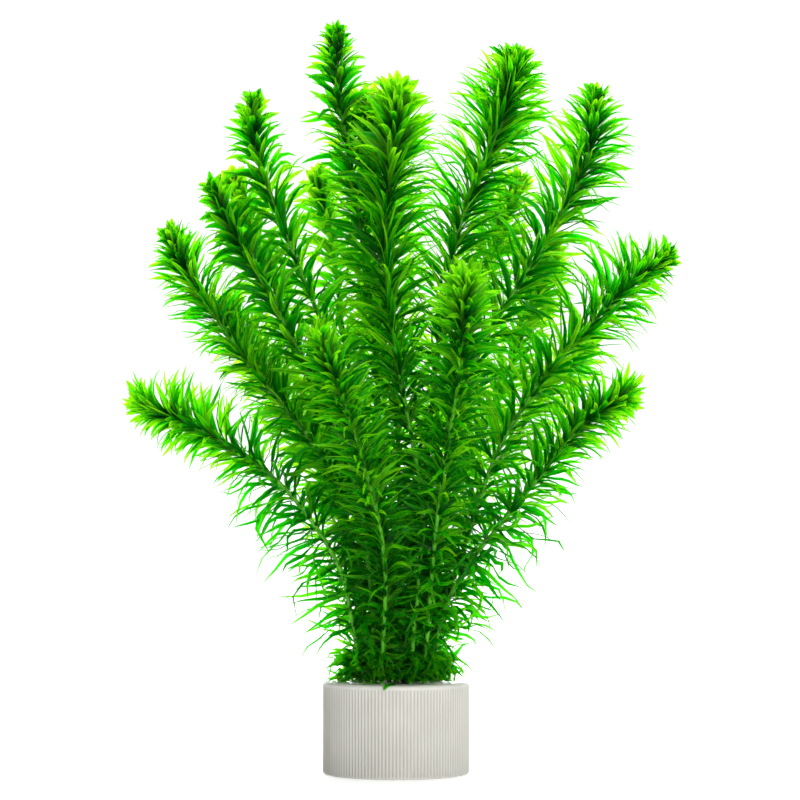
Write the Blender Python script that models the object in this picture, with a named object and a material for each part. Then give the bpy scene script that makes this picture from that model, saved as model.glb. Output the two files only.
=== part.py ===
"""A potted bunch of waterweed.

Leafy cut stems are pushed into a foam plug, which fills the bore of a thick ribbed pot.
The origin is the centre of the pot's flat underside and the front is -Y. Sizes are given
in millimetres and built in metres.
"""

import math
import random

import bmesh
import bpy
from mathutils import Quaternion, Vector
from mathutils.bvhtree import BVHTree

MM = 0.001
GAP = 0.3
SEED = 11

# Pot: a short thick-walled cylinder with fine upright ribs
POT_RADIUS = 22.5
POT_HEIGHT = 28.5
BORE_RADIUS = 14.0
BORE_SIDES = 32
POT_FLOOR = 4.5
RIB_COUNT = 128
RIB_DEPTH = 0.25
RIB_TOP = POT_HEIGHT - 1.2
LIP_RADIUS = POT_RADIUS - 0.4
LIP_SIDES = 64

# Plug: white foam, just below the pot's top face
PLUG_TOP = POT_HEIGHT - 0.8
STEM_FOOT = 12.0
STEM_COLLAR = PLUG_TOP + 1.0
SOCKET_CUT_TOP = PLUG_TOP + 5.0

# Stem: three-sided, so that the faces of one short band point six ways
STEM_SIDES = 3
STEM_RADIUS = 1.25
TIP_RADIUS = 0.75
BUD_LENGTH = 3.0

# Whorls of leaves, spaced and sized by their distance from the stem's tip
TIP_WHORLS = 4
TIP_STEP = 3.0
GROWN_STEP = 7.6
GROWN_AT = 34.0
LONG_AT = 17.0
WHORL_TURN = 45.0
BARE_BANDS = 2
BARE_FOOT = 3.0
LEAF_TIP_LENGTH = 7.0
LEAF_LENGTH = 17.5
LEAF_OLD_LENGTH = 18.0
OLD_FROM, OLD_AT = 95.0, 150.0
LEAF_LEAN_YOUNG, LEAF_LEAN_GROWN, LEAF_LEAN_OLD = 30.0, 68.0, 84.0
SHORTEST_LEAF = 3.5
LEAF_TRIM = 1.5
LEAF_AIR = 0.5
LENGTH_FROM, LENGTH_TO = 0.88, 1.0
LEAN_SPREAD = 4.0

# Each stem: its foot in the plug, then the points that it passes above the pot, to its tip
STEMS = {
    "shoot_centre": ((4.4, -7.6), (7.0, -12, 61), (7.4, -14, 87), (0.3, -12, 126.5),
                     (-3.5, -7, 162), (-0.6, -4, 192), (0.8, -4, 205)),
    "shoot_tallest": ((-2.2, 3.8), (-3.2, 6.5, 65), (-5.0, 9, 105), (-7.8, 10, 143),
                      (-14.3, 8, 189), (-17.6, 7, 207.5), (-18.8, 6, 226)),
    "shoot_upper_right": ((2.2, 3.8), (5.0, 4, 62), (9.5, 5, 99), (13.0, 5, 130),
                          (19.5, 4, 168), (31.2, 2, 197), (36.3, 2, 216.2)),
    "shoot_tall_right": ((4.4, 0), (9.0, 1, 65), (17.2, 2, 102), (26.5, 3, 131),
                         (44.3, 4, 160.5), (58.2, 4, 187), (61.6, 4, 206)),
    "shoot_upper_left": ((-4.4, 0), (-5.8, 0, 65), (-10.5, -1, 99), (-18.5, -2, 127),
                         (-32.5, -1, 162), (-42.6, 0, 190), (-43.6, 0, 204.5)),
    "shoot_outer_right": ((8.8, 0), (13.5, -2, 47), (21.0, -4, 70), (32.3, -6, 101.5),
                          (50.0, -8, 127), (71.5, -8, 150), (81.0, -8, 157)),
    "shoot_outer_left": ((-8.8, 0), (-10.2, 0, 53), (-15.2, 0, 78), (-24.0, -1, 99),
                         (-47.2, -2, 128.5), (-64.5, -2, 154.5), (-68.6, -2, 163.2)),
    "shoot_mid_left": ((-6.6, -3.8), (-7.8, -5, 56.5), (-11.4, -7, 84), (-19.5, -9, 108.5),
                       (-35.0, -10, 140), (-49.8, -8, 166.5), (-55.3, -8, 177.6)),
    "shoot_low_left": ((-11, -3.8), (-13.5, -6, 47), (-18.0, -8, 65), (-33.7, -12, 87.5),
                       (-54.5, -15, 103), (-73.6, -16, 111.6)),
    "shoot_low_right": ((11, -3.8), (13.4, -6, 46), (20.5, -9, 62), (38.8, -13, 85.5),
                        (56.6, -17, 107.2), (66.8, -18, 114.2)),
    "shoot_front_left": ((-4.4, -7.6), (-3.2, -16, 60), (-5.1, -22, 77.5), (-10.0, -30, 96.5),
                         (-16.5, -37, 117), (-22.0, -41, 131)),
    "shoot_front_right": ((8.8, -7.6), (11.0, -15, 63), (13.8, -23, 90.5), (18.4, -33, 119.5),
                          (20.6, -41.8, 146.3)),
    "shoot_centre_back": ((0, 0), (1.0, 4, 65), (0.0, 12, 114.5), (-3.9, 16, 161),
                          (-7.2, 14, 191), (-8.7, 14, 203.5)),
    "shoot_mid_left_back": ((-6.6, 3.8), (-8.4, 6, 59), (-16.2, 9, 93), (-28.3, 12, 124),
                            (-45.0, 14, 168), (-50.0, 14, 180.5)),
    "shoot_outer_left_back": ((-11, 3.8), (-13.6, 8, 62), (-23.0, 12, 93), (-37.0, 16, 116),
                              (-52.5, 18, 143)),
    "shoot_back_left": ((-4.4, 7.6), (-5.6, 11, 65), (-9.7, 17, 99), (-15.8, 23, 130),
                        (-20.5, 27, 165), (-24.5, 28, 182)),
    "shoot_back_tall": ((4.4, 7.6), (4.6, 12, 55), (8.6, 19, 89.5), (17.0, 27, 127),
                        (30.5, 32, 162), (38.5, 33, 182)),
    "shoot_back_right": ((6.6, 3.8), (10.5, 9, 56), (19.3, 17.5, 87), (34.0, 24, 121),
                         (49.0, 27, 160)),
    "shoot_back_centre": ((0, 7.6), (-0.8, 15, 65), (-2.6, 26, 99), (-5.1, 36, 131),
                          (-6.7, 40, 149)),
    "shoot_low_right_back": ((11, 3.8), (18.8, 10, 71), (34.5, 22, 99), (59.5, 36, 131)),
    "shoot_low_left_back": ((-8.8, 7.6), (-12.2, 13, 62), (-22.3, 24, 92), (-46.0, 38, 130)),
    "shoot_rear_right": ((2.2, 11.4), (7.2, 19, 52), (13.8, 32, 77), (20.4, 48, 105),
                         (23.6, 58, 121)),
    "shoot_rear_left": ((-2.2, 11.4), (-3.8, 17, 46), (-9.8, 29, 70), (-17.0, 46, 98),
                        (-23.0, 57, 115)),
}
# A shoot with one of these words in its name is paler
PALE_SHOOTS = ("back", "rear")

# Linear colours and roughness
POT_WHITE = (0.62, 0.61, 0.58, 1.0)
FOAM_WHITE = (0.66, 0.68, 0.64, 1.0)
LEAF_DEEP = (0.020, 0.220, 0.008, 1.0)
LEAF_LIME = (0.130, 0.480, 0.010, 1.0)
POT_ROUGHNESS, FOAM_ROUGHNESS, LEAF_ROUGHNESS = 0.55, 0.8, 0.45

# Edges sharper than this are drawn sharp. A rib's edges are shallower than a stem's
RIB_SHARP, STEM_SHARP = 25.0, 35.0


def clear_scene():
    for existing in list(bpy.data.objects):
        bpy.data.objects.remove(existing, do_unlink=True)


def material(name, colour, roughness, metallic=0.0):
    made = bpy.data.materials.new(name)
    made.use_nodes = True
    shader = made.node_tree.nodes["Principled BSDF"]
    shader.inputs["Base Color"].default_value = colour
    shader.inputs["Roughness"].default_value = roughness
    shader.inputs["Metallic"].default_value = metallic
    made.diffuse_color = colour
    return made


def white_ceramic():
    return material("white_ceramic", POT_WHITE, POT_ROUGHNESS)


def white_foam():
    return material("white_foam", FOAM_WHITE, FOAM_ROUGHNESS)


def deep_leaf():
    return material("leaf_deep_green", LEAF_DEEP, LEAF_ROUGHNESS)


def lime_leaf():
    return material("leaf_lime_green", LEAF_LIME, LEAF_ROUGHNESS)


def finished(name, bm, finish, smooth_under=STEM_SHARP):
    """The mesh as an object, with its edges sharp where its faces meet at more than the angle."""
    bmesh.ops.scale(bm, vec=(MM, MM, MM), verts=bm.verts)
    mesh = bpy.data.meshes.new(name)
    bm.to_mesh(mesh)
    bm.free()
    mesh.shade_smooth()
    mesh.set_sharp_from_angle(angle=math.radians(smooth_under))
    mesh.materials.append(finish)
    made = bpy.data.objects.new(name, mesh)
    bpy.context.scene.collection.objects.link(made)
    return made


def ring(bm, radii, height):
    """A loop of vertices about the pot's axis, each as far out as its turn in radii says."""
    count = len(radii)
    turns = (math.tau * i / count for i in range(count))
    return [
        bm.verts.new((r * math.cos(t), r * math.sin(t), height))
        for r, t in zip(radii, turns)
    ]


def ring_edges(bm, loop):
    for vertex, following in zip(loop, loop[1:] + loop[:1]):
        if not bm.edges.get((vertex, following)):
            bm.edges.new((vertex, following))
    return [bm.edges.get((a, b)) for a, b in zip(loop, loop[1:] + loop[:1])]


def join_rings(bm, loop_a, loop_b):
    bmesh.ops.bridge_loops(bm, edges=ring_edges(bm, loop_a) + ring_edges(bm, loop_b))


def make_pot():
    """Ribbed wall with a plain sloped lip, a flat top face and a straight blind bore."""
    bm = bmesh.new()
    ribbed = [POT_RADIUS, POT_RADIUS - RIB_DEPTH] * RIB_COUNT
    foot = ring(bm, ribbed, 0)
    rib_ends = ring(bm, ribbed, RIB_TOP)
    lip = ring(bm, [LIP_RADIUS] * LIP_SIDES, POT_HEIGHT)
    bore_top = ring(bm, [BORE_RADIUS] * BORE_SIDES, POT_HEIGHT)
    bore_floor = ring(bm, [BORE_RADIUS] * BORE_SIDES, POT_FLOOR)
    for lower, upper in ((foot, rib_ends), (rib_ends, lip), (lip, bore_top), (bore_top, bore_floor)):
        join_rings(bm, lower, upper)
    bm.faces.new(foot)
    bm.faces.new(bore_floor)
    bmesh.ops.recalc_face_normals(bm, faces=bm.faces)
    return bm


def make_plug(routes):
    """A foam cylinder with a straight socket for each stem's foot."""
    bm = bmesh.new()
    radius = BORE_RADIUS - GAP / math.cos(math.pi / BORE_SIDES)
    rings = [ring(bm, [radius] * BORE_SIDES, z) for z in (POT_FLOOR + GAP, PLUG_TOP)]
    join_rings(bm, *rings)
    for loop in rings:
        bm.faces.new(loop)
    bmesh.ops.recalc_face_normals(bm, faces=bm.faces)
    foam = white_foam()
    plug = finished("plug", bm, foam)
    sockets = plug.modifiers.new("sockets", "BOOLEAN")
    sockets.solver = "EXACT"
    sockets.object = make_socket_cutter(routes, foam)


def make_socket_cutter(routes, foam):
    """Prisms like the stems' feet, wider by the gap on every side and open past the plug's top."""
    bm = bmesh.new()
    radius = STEM_RADIUS + GAP / math.cos(math.pi / STEM_SIDES)
    for route in routes.values():
        x, y, _ = route.points[0]
        loops = []
        for height in (STEM_FOOT - GAP, SOCKET_CUT_TOP):
            middle = Vector((x, y, height))
            loops.append([bm.verts.new(middle + radius * way) for way in route.foot_ways])
        for i in range(STEM_SIDES):
            j = (i + 1) % STEM_SIDES
            bm.faces.new((loops[0][i], loops[0][j], loops[1][j], loops[1][i]))
        bm.faces.new(loops[0][::-1])
        bm.faces.new(loops[1])
    cutter = finished("socket_cutter", bm, foam)
    cutter.hide_render = True
    cutter.display_type = "WIRE"
    return cutter


class Route:
    """A smooth line from a stem's foot to its tip, upright inside the plug."""

    SAMPLES = 24

    def __init__(self, foot, *above):
        self.points = [Vector((*foot, STEM_FOOT)), Vector((*foot, STEM_COLLAR))]
        self.points += [Vector(p) for p in above]
        first = (self.points[2] - self.points[1]).length
        ghosts = [self.points[1] - Vector((0, 0, first))] + self.points[1:]
        ghosts.append(2 * ghosts[-1] - ghosts[-2])
        self.line = [self.points[1]]
        for a, b, c, d in zip(ghosts, ghosts[1:], ghosts[2:], ghosts[3:]):
            for i in range(1, self.SAMPLES + 1):
                self.line.append(curve_point(a, b, c, d, i / self.SAMPLES))
        self.lengths = [0.0]
        for a, b in zip(self.line, self.line[1:]):
            self.lengths.append(self.lengths[-1] + (b - a).length)
        self.free_length = self.lengths[-1]
        outward = Vector((foot[0], foot[1], 0))
        outward = outward.normalized() if outward.length > 1 else Vector((1, 0, 0))
        turns = (Quaternion((0, 0, 1), math.tau * i / STEM_SIDES) for i in range(STEM_SIDES))
        self.foot_ways = [turn @ outward for turn in turns]

    def at(self, from_tip):
        """The point and the direction at a distance down from the tip."""
        wanted = self.free_length - from_tip
        for i, reached in enumerate(self.lengths[1:], 1):
            if reached >= wanted:
                break
        a, b = self.line[i - 1], self.line[i]
        share = (wanted - self.lengths[i - 1]) / (reached - self.lengths[i - 1])
        return a.lerp(b, min(share, 1.0)), (b - a).normalized()


def curve_point(a, b, c, d, t):
    """Catmull-Rom, between b and c."""
    return 0.5 * (
        2 * b + (c - a) * t + (2 * a - 5 * b + 4 * c - d) * t**2 + (3 * b - a - 3 * c + d) * t**3
    )


def levels(route):
    """Distances down from the tip to each ring of the leafy part of the stem."""
    marks = [TIP_STEP * i for i in range(TIP_WHORLS)]
    while marks[-1] + GROWN_STEP < route.free_length - BARE_FOOT:
        grown = min(1.0, marks[-1] / GROWN_AT)
        marks.append(marks[-1] + TIP_STEP + (GROWN_STEP - TIP_STEP) * grown)
    return marks


def leaf_shape(down):
    """The length of a leaf, and the angle between it and its stem, by distance from the tip."""
    long = math.sin(min(1.0, down / LONG_AT) * math.pi / 2)
    grown = min(1.0, down / GROWN_AT)
    old = min(1.0, max(0.0, (down - OLD_FROM) / (OLD_AT - OLD_FROM)))
    length = LEAF_TIP_LENGTH + (LEAF_LENGTH - LEAF_TIP_LENGTH) * long
    length += (LEAF_OLD_LENGTH - LEAF_LENGTH) * old
    lean = LEAF_LEAN_YOUNG + (LEAF_LEAN_GROWN - LEAF_LEAN_YOUNG) * math.sqrt(grown)
    return length, math.radians(lean + (LEAF_LEAN_OLD - LEAF_LEAN_GROWN) * old)


def stem_rings(route):
    """Corner points of the stem's rings from the foot up, and their distances from its tip.

    Each ring above the pot is turned on the one under it, so that the leaves climb in spirals.
    """
    ways = route.foot_ways
    rings = [[point + STEM_RADIUS * way for way in ways] for point in route.points[:2]]
    marks = levels(route)[::-1]
    heading = Vector((0, 0, 1))
    for down in marks:
        point, onward = route.at(down)
        turn = Quaternion(onward, math.radians(WHORL_TURN)) @ heading.rotation_difference(onward)
        ways = [turn @ way for way in ways]
        heading = onward
        young = min(1.0, down / (TIP_STEP * TIP_WHORLS))
        radius = TIP_RADIUS + (STEM_RADIUS - TIP_RADIUS) * young
        rings.append([point + radius * way for way in ways])
    return rings, marks, heading


def has_room(corners, tip, neighbours):
    """Whether a leaf on this face, with a little air round it, touches no other shoot."""
    middle = sum(corners, Vector()) / len(corners)
    airy = [corner + LEAF_AIR * (corner - middle).normalized() for corner in corners]
    airy.append(tip + LEAF_AIR * (tip - middle).normalized())
    leaf = BVHTree.FromPolygons(airy, ((0, 1, 3), (1, 2, 3), (2, 0, 3)))
    return not leaf.overlap(neighbours)


def grow_leaf(bm, face, route, down, neighbours, chance):
    """Draws one face of the stem out to a leaf's tip, short of any other shoot."""
    length, lean = leaf_shape(down)
    length *= chance.uniform(LENGTH_FROM, LENGTH_TO)
    lean += math.radians(chance.uniform(-LEAN_SPREAD, LEAN_SPREAD))
    base = face.calc_center_median()
    axis_point, onward = route.at(down)
    outward = base - axis_point
    outward -= outward.dot(onward) * onward
    outward.normalize()
    outward.rotate(Quaternion(onward, math.radians(chance.uniform(-LEAN_SPREAD, LEAN_SPREAD))))
    way = math.cos(lean) * onward + math.sin(lean) * outward
    corners = [vertex.co.copy() for vertex in face.verts]
    while not has_room(corners, base + length * way, neighbours):
        length -= LEAF_TRIM
        if length < SHORTEST_LEAF:
            return
    tip = bmesh.ops.poke(bm, faces=[face])["verts"][0]
    tip.co = base + length * way


def make_stem(route):
    """The bare stem with a closed bud at its tip, and the faces that leaves grow from."""
    bm = bmesh.new()
    points, marks, heading = stem_rings(route)
    rings = [[bm.verts.new(p) for p in corners] for corners in points]
    growing = []
    for level, (lower, upper) in enumerate(zip(rings, rings[1:])):
        for i in range(STEM_SIDES):
            j = (i + 1) % STEM_SIDES
            pair = (bm.faces.new((lower[i], lower[j], upper[i])),
                    bm.faces.new((lower[j], upper[j], upper[i])))
            if level >= BARE_BANDS:
                growing += [(face, marks[level - 1]) for face in pair]
    bm.faces.new(rings[0][::-1])
    bud_base = bm.faces.new(rings[-1])
    bud = bmesh.ops.poke(bm, faces=[bud_base])["verts"][0]
    bud.co += BUD_LENGTH * heading
    return bm, growing


def surface(meshes):
    """One search tree over the faces of several meshes."""
    points, faces = [], []
    for bm in meshes:
        bm.verts.index_update()
        start = len(points)
        points += [vertex.co.copy() for vertex in bm.verts]
        faces += [[start + vertex.index for vertex in face.verts] for face in bm.faces]
    return BVHTree.FromPolygons(points, faces)


def make_shoots(routes, pot):
    """Every shoot's leaves stop short of the shoots about it and of the pot."""
    deep, lime = deep_leaf(), lime_leaf()
    stems = {name: make_stem(route) for name, route in routes.items()}
    for name, (bm, growing) in stems.items():
        chance = random.Random(f"{SEED} {name}")
        others = [other for label, (other, _) in stems.items() if label != name]
        neighbours = surface([*others, pot])
        for face, down in growing:
            grow_leaf(bm, face, routes[name], down, neighbours, chance)
    for name, (bm, _) in stems.items():
        finished(name, bm, lime if any(word in name for word in PALE_SHOOTS) else deep)


def main():
    clear_scene()
    routes = {name: Route(*stem) for name, stem in STEMS.items()}
    pot = make_pot()
    make_shoots(routes, pot)
    make_plug(routes)
    finished("pot", pot, white_ceramic(), smooth_under=RIB_SHARP)


main()
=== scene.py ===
"""A potted bunch of waterweed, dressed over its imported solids.

Sizes are in millimetres and meshes are built in metres, in the frame of the solids: the
origin is the centre of the pot's flat underside, the front is -Y and +Z is up.
"""

import math

import bmesh
import bpy
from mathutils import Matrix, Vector


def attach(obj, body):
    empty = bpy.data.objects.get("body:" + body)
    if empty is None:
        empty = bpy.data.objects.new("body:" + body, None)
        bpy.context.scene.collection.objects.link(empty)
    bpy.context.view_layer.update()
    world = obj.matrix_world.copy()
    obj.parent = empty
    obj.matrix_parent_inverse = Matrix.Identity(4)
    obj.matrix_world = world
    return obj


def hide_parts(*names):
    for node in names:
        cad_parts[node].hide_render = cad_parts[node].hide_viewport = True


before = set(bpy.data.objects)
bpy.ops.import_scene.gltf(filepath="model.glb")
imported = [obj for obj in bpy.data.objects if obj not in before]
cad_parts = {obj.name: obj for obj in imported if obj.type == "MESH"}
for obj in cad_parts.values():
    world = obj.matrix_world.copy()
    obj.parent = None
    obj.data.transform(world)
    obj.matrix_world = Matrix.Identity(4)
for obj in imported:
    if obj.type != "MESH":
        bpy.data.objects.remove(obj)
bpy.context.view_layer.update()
MM = 0.001


# Studio: a round white table top under even white light that is strongest behind the bunch and shines
# through its leaves, with soft lamps in front to the right, overhead, and behind on both sides.
# Nothing here is part of the object.

TABLE_RADIUS = 6000.0
TABLE_GLOW = 0.38
CAMERA_PLACE = (1.2, -1100.0, 114.5)
CAMERA_LENS = 161.2
SKY_WHITE = 1.15
# How bright the light is: from all round, added from behind, and tilted towards the right and the top
SKY_LIGHT, SKY_BEHIND, SKY_RIGHT, SKY_TOP = 0.26, 54.0, 0.11, 0.0
SKY_BEHIND_SPREAD = 24.0
LAMPS = {
    # name: place, size, watts, colour
    "front_lamp": ((330, -1050, 350), 450, 10.5, (1.0, 0.99, 0.97)),
    "back_right_lamp": ((420, 1200, 300), 600, 2.5, (1.0, 1.0, 0.96)),
    "top_lamp": ((0, 100, 1100), 600, 13.0, (1.0, 1.0, 0.97)),
    "back_left_lamp": ((-420, 1200, 300), 600, 2.0, (1.0, 1.0, 0.96)),
}


def table_white():
    made = bpy.data.materials.new("table_white")
    made.use_nodes = True
    shader = made.node_tree.nodes["Principled BSDF"]
    shader.inputs["Base Color"].default_value = (0.9, 0.9, 0.9, 1)
    shader.inputs["Emission Color"].default_value = (1, 1, 1, 1)
    shader.inputs["Emission Strength"].default_value = TABLE_GLOW
    shader.inputs["Roughness"].default_value = 0.9
    return made


def lay_table():
    bm = bmesh.new()
    bmesh.ops.create_circle(bm, cap_ends=True, segments=96, radius=TABLE_RADIUS * MM)
    mesh = bpy.data.meshes.new("table_top")
    bm.to_mesh(mesh)
    bm.free()
    mesh.materials.append(table_white())
    table = bpy.data.objects.new("table_top", mesh)
    bpy.context.scene.collection.objects.link(table)


def hang_lamp(name, place, size, watts, colour):
    light = bpy.data.lights.new(name, "AREA")
    light.shape = "DISK"
    light.size = size * MM
    light.energy = watts
    light.color = colour
    lamp = bpy.data.objects.new(name, light)
    lamp.location = Vector(place) * MM
    aim = Vector((0, 0, 120)) * MM - lamp.location
    lamp.rotation_euler = aim.to_track_quat("-Z", "Y").to_euler()
    bpy.context.scene.collection.objects.link(lamp)


def set_camera():
    camera = bpy.data.objects.new("camera", bpy.data.cameras.new("camera"))
    camera.data.lens = CAMERA_LENS
    camera.data.sensor_width = 36.0
    camera.data.clip_end = 50.0
    camera.location = Vector(CAMERA_PLACE) * MM
    camera.rotation_euler = (math.radians(90), 0, 0)
    bpy.context.scene.collection.objects.link(camera)
    bpy.context.scene.camera = camera


def white_sky():
    """Seen as plain white. As light it is soft from all round and strong from behind."""
    made = bpy.data.worlds.new("white_sky")
    made.use_nodes = True
    tree = made.node_tree
    way = tree.nodes.new("ShaderNodeSeparateXYZ")
    tree.links.new(tree.nodes.new("ShaderNodeTexCoord").outputs["Generated"], way.inputs[0])

    def worked(operation, first, *others):
        node = tree.nodes.new("ShaderNodeMath")
        node.operation = operation
        tree.links.new(first, node.inputs[0])
        for plug, value in zip(node.inputs[1:], others):
            if isinstance(value, float):
                plug.default_value = value
            else:
                tree.links.new(value, plug)
        return node.outputs[0]

    behind = worked("POWER", worked("MAXIMUM", way.outputs["Y"], 0.0), SKY_BEHIND_SPREAD)
    light = worked("MULTIPLY_ADD", behind, SKY_BEHIND, SKY_LIGHT)
    light = worked("MULTIPLY_ADD", way.outputs["X"], SKY_RIGHT, light)
    light = worked("MULTIPLY_ADD", way.outputs["Z"], SKY_TOP, light)
    seen = tree.nodes.new("ShaderNodeMix")
    tree.links.new(tree.nodes.new("ShaderNodeLightPath").outputs["Is Camera Ray"], seen.inputs[0])
    tree.links.new(light, seen.inputs[2])
    seen.inputs[3].default_value = SKY_WHITE
    tree.nodes["Background"].inputs["Color"].default_value = (1, 1, 1, 1)
    tree.links.new(seen.outputs[0], tree.nodes["Background"].inputs["Strength"])
    return made


lay_table()
for lamp_name, lamp in LAMPS.items():
    hang_lamp(lamp_name, *lamp)
set_camera()
bpy.context.scene.world = white_sky()
bpy.context.scene.view_settings.view_transform = "Standard"


# Pot: one piece of white unglazed ceramic, pressed with fine upright ribs. A thin smooth lip
# finishes the ribs, and a plain flat top runs in to the bore that holds the plug.

POT_RADIUS = 22.5
POT_HEIGHT = 28.5
BORE_RADIUS = 14.0
POT_FLOOR = 4.5
RIBS = 128
RIB_FACES = 6
RIB_DEPTH = 0.26
RIB_FROM, RIB_TO = 0.3, POT_HEIGHT - 1.1
RIB_RUN_OUT = 0.7
# Half of the pot's section, from the middle of its underside round to the middle of its bore's floor
POT_SECTION = (
    (0, 0), (12, 0), (21.3, 0), (21.9, 0.05), (22.25, 0.2), (22.44, 0.45), (22.5, 0.9),
    (22.5, 1.4), (22.5, 2.5), (22.5, 7), (22.5, 12), (22.5, 17), (22.5, 22), (22.5, 25.6),
    (22.5, 26.4), (22.5, 26.9), (22.48, 27.3), (22.44, 27.6), (22.36, 27.9), (22.2, 28.15),
    (21.95, 28.35), (21.6, 28.46), (21.2, 28.5), (19, 28.47), (16, 28.42), (14.8, 28.36),
    (14.4, 28.22), (14.15, 27.95), (14.0, 27.5), (14.0, 24), (14.0, 16), (14.0, 5.2),
    (13.6, 4.6), (12.5, 4.5), (6, 4.5), (0, 4.5),
)


class Reading:
    """A number or a direction that a node tree works out, written as plain arithmetic."""

    def __init__(self, tree, socket):
        self.tree, self.socket = tree, socket

    def worked(self, operation, *others):
        values = (self, *others)
        vector = any(
            value.socket.type == "VECTOR" if isinstance(value, Reading) else isinstance(value, tuple)
            for value in values
        )
        node = self.tree.nodes.new("ShaderNodeVectorMath" if vector else "ShaderNodeMath")
        node.operation = operation
        for plug, value in zip(node.inputs, values):
            feed(self.tree, plug, value)
        return Reading(self.tree, node.outputs["Value" if operation in MEASURES else 0])

    def __add__(self, other):
        return self.worked("ADD", other)

    def __sub__(self, other):
        return self.worked("SUBTRACT", other)

    def __mul__(self, other):
        return self.worked("MULTIPLY", other)

    def __truediv__(self, other):
        return self.worked("DIVIDE", other)

    def __pow__(self, other):
        return self.worked("POWER", other)

    def spread(self, low, high, to_low=0.0, to_high=1.0, ease="LINEAR"):
        """This number carried from one span to another, and held at its ends."""
        node = self.tree.nodes.new("ShaderNodeMapRange")
        node.interpolation_type = ease
        for plug, value in zip(node.inputs, (self, low, high, to_low, to_high)):
            feed(self.tree, plug, value)
        return Reading(self.tree, node.outputs[0])

    def part(self, axis):
        node = self.tree.nodes.new("ShaderNodeSeparateXYZ")
        feed(self.tree, node.inputs[0], self)
        return Reading(self.tree, node.outputs[axis])


MEASURES = ("DOT_PRODUCT", "LENGTH", "DISTANCE")


def feed(tree, plug, value):
    """Joins a reading or a socket to an input, or sets a plain value on it."""
    if isinstance(value, Reading):
        tree.links.new(value.socket, plug)
    elif isinstance(value, bpy.types.NodeSocket):
        tree.links.new(value, plug)
    elif plug.type == "VECTOR" and isinstance(value, (int, float)):
        plug.default_value = (value, value, value)
    else:
        plug.default_value = value


def direction(x, y, z):
    """Three numbers joined into a place or a direction."""
    tree = next(value.tree for value in (x, y, z) if isinstance(value, Reading))
    node = tree.nodes.new("ShaderNodeCombineXYZ")
    for plug, value in zip(node.inputs, (x, y, z)):
        feed(tree, plug, value)
    return Reading(tree, node.outputs[0])


class Plan:
    """A Geometry Nodes tree with named inputs for the sizes of what it makes."""

    KINDS = {int: "NodeSocketInt", float: "NodeSocketFloat", bpy.types.Material: "NodeSocketMaterial",
             bpy.types.Object: "NodeSocketObject"}

    def __init__(self, name, sizes):
        self.tree = bpy.data.node_groups.new(name, "GeometryNodeTree")
        inside = self.tree.interface
        inside.new_socket("Geometry", in_out="INPUT", socket_type="NodeSocketGeometry")
        inside.new_socket("Geometry", in_out="OUTPUT", socket_type="NodeSocketGeometry")
        for label, value in sizes.items():
            inside.new_socket(label, in_out="INPUT", socket_type=self.KINDS[type(value)])
        self.entry = self.tree.nodes.new("NodeGroupInput")
        self.base = self.entry.outputs["Geometry"]

    def size(self, label):
        return Reading(self.tree, self.entry.outputs[label])

    def step(self, kind, *values, out=0, **settings):
        """One more node: its settings, then its inputs in order, where None leaves one as it is."""
        node = self.tree.nodes.new(kind)
        for label, setting in settings.items():
            setattr(node, label, setting)
        plugs = [plug for plug in node.inputs if plug.enabled]
        for plug, value in zip(plugs, values):
            if value is not None:
                feed(self.tree, plug, value)
        outlets = [outlet for outlet in node.outputs if outlet.enabled]
        return Reading(self.tree, outlets[out])

    def chance(self, low, high, seed, each=None):
        """A seeded random number for each point."""
        return self.step("FunctionNodeRandomValue", low, high, each, seed)

    def finish(self, geometry):
        made = self.step("GeometryNodeRealizeInstances", geometry)
        leave = self.tree.nodes.new("NodeGroupOutput")
        self.tree.links.new(made.socket, leave.inputs[0])


def made_by(plan, name, sizes, guide_points, guide_edges):
    """What the plan makes on a guide line, as an object with a plain mesh and no modifier."""
    guide = bpy.data.meshes.new(name)
    guide.from_pydata(guide_points, guide_edges, [])
    piece = bpy.data.objects.new(name, guide)
    bpy.context.scene.collection.objects.link(piece)
    modifier = piece.modifiers.new("plan", "NODES")
    modifier.node_group = plan.tree
    for item in plan.tree.interface.items_tree:
        if item.in_out == "INPUT" and item.name in sizes:
            modifier[item.identifier] = sizes[item.name]
    graph = bpy.context.evaluated_depsgraph_get()
    plain = bpy.data.meshes.new_from_object(
        piece.evaluated_get(graph), preserve_all_data_layers=True, depsgraph=graph
    )
    piece.modifiers.remove(modifier)
    piece.data = plain
    plain.name = name
    bpy.data.meshes.remove(guide)
    return piece


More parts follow.
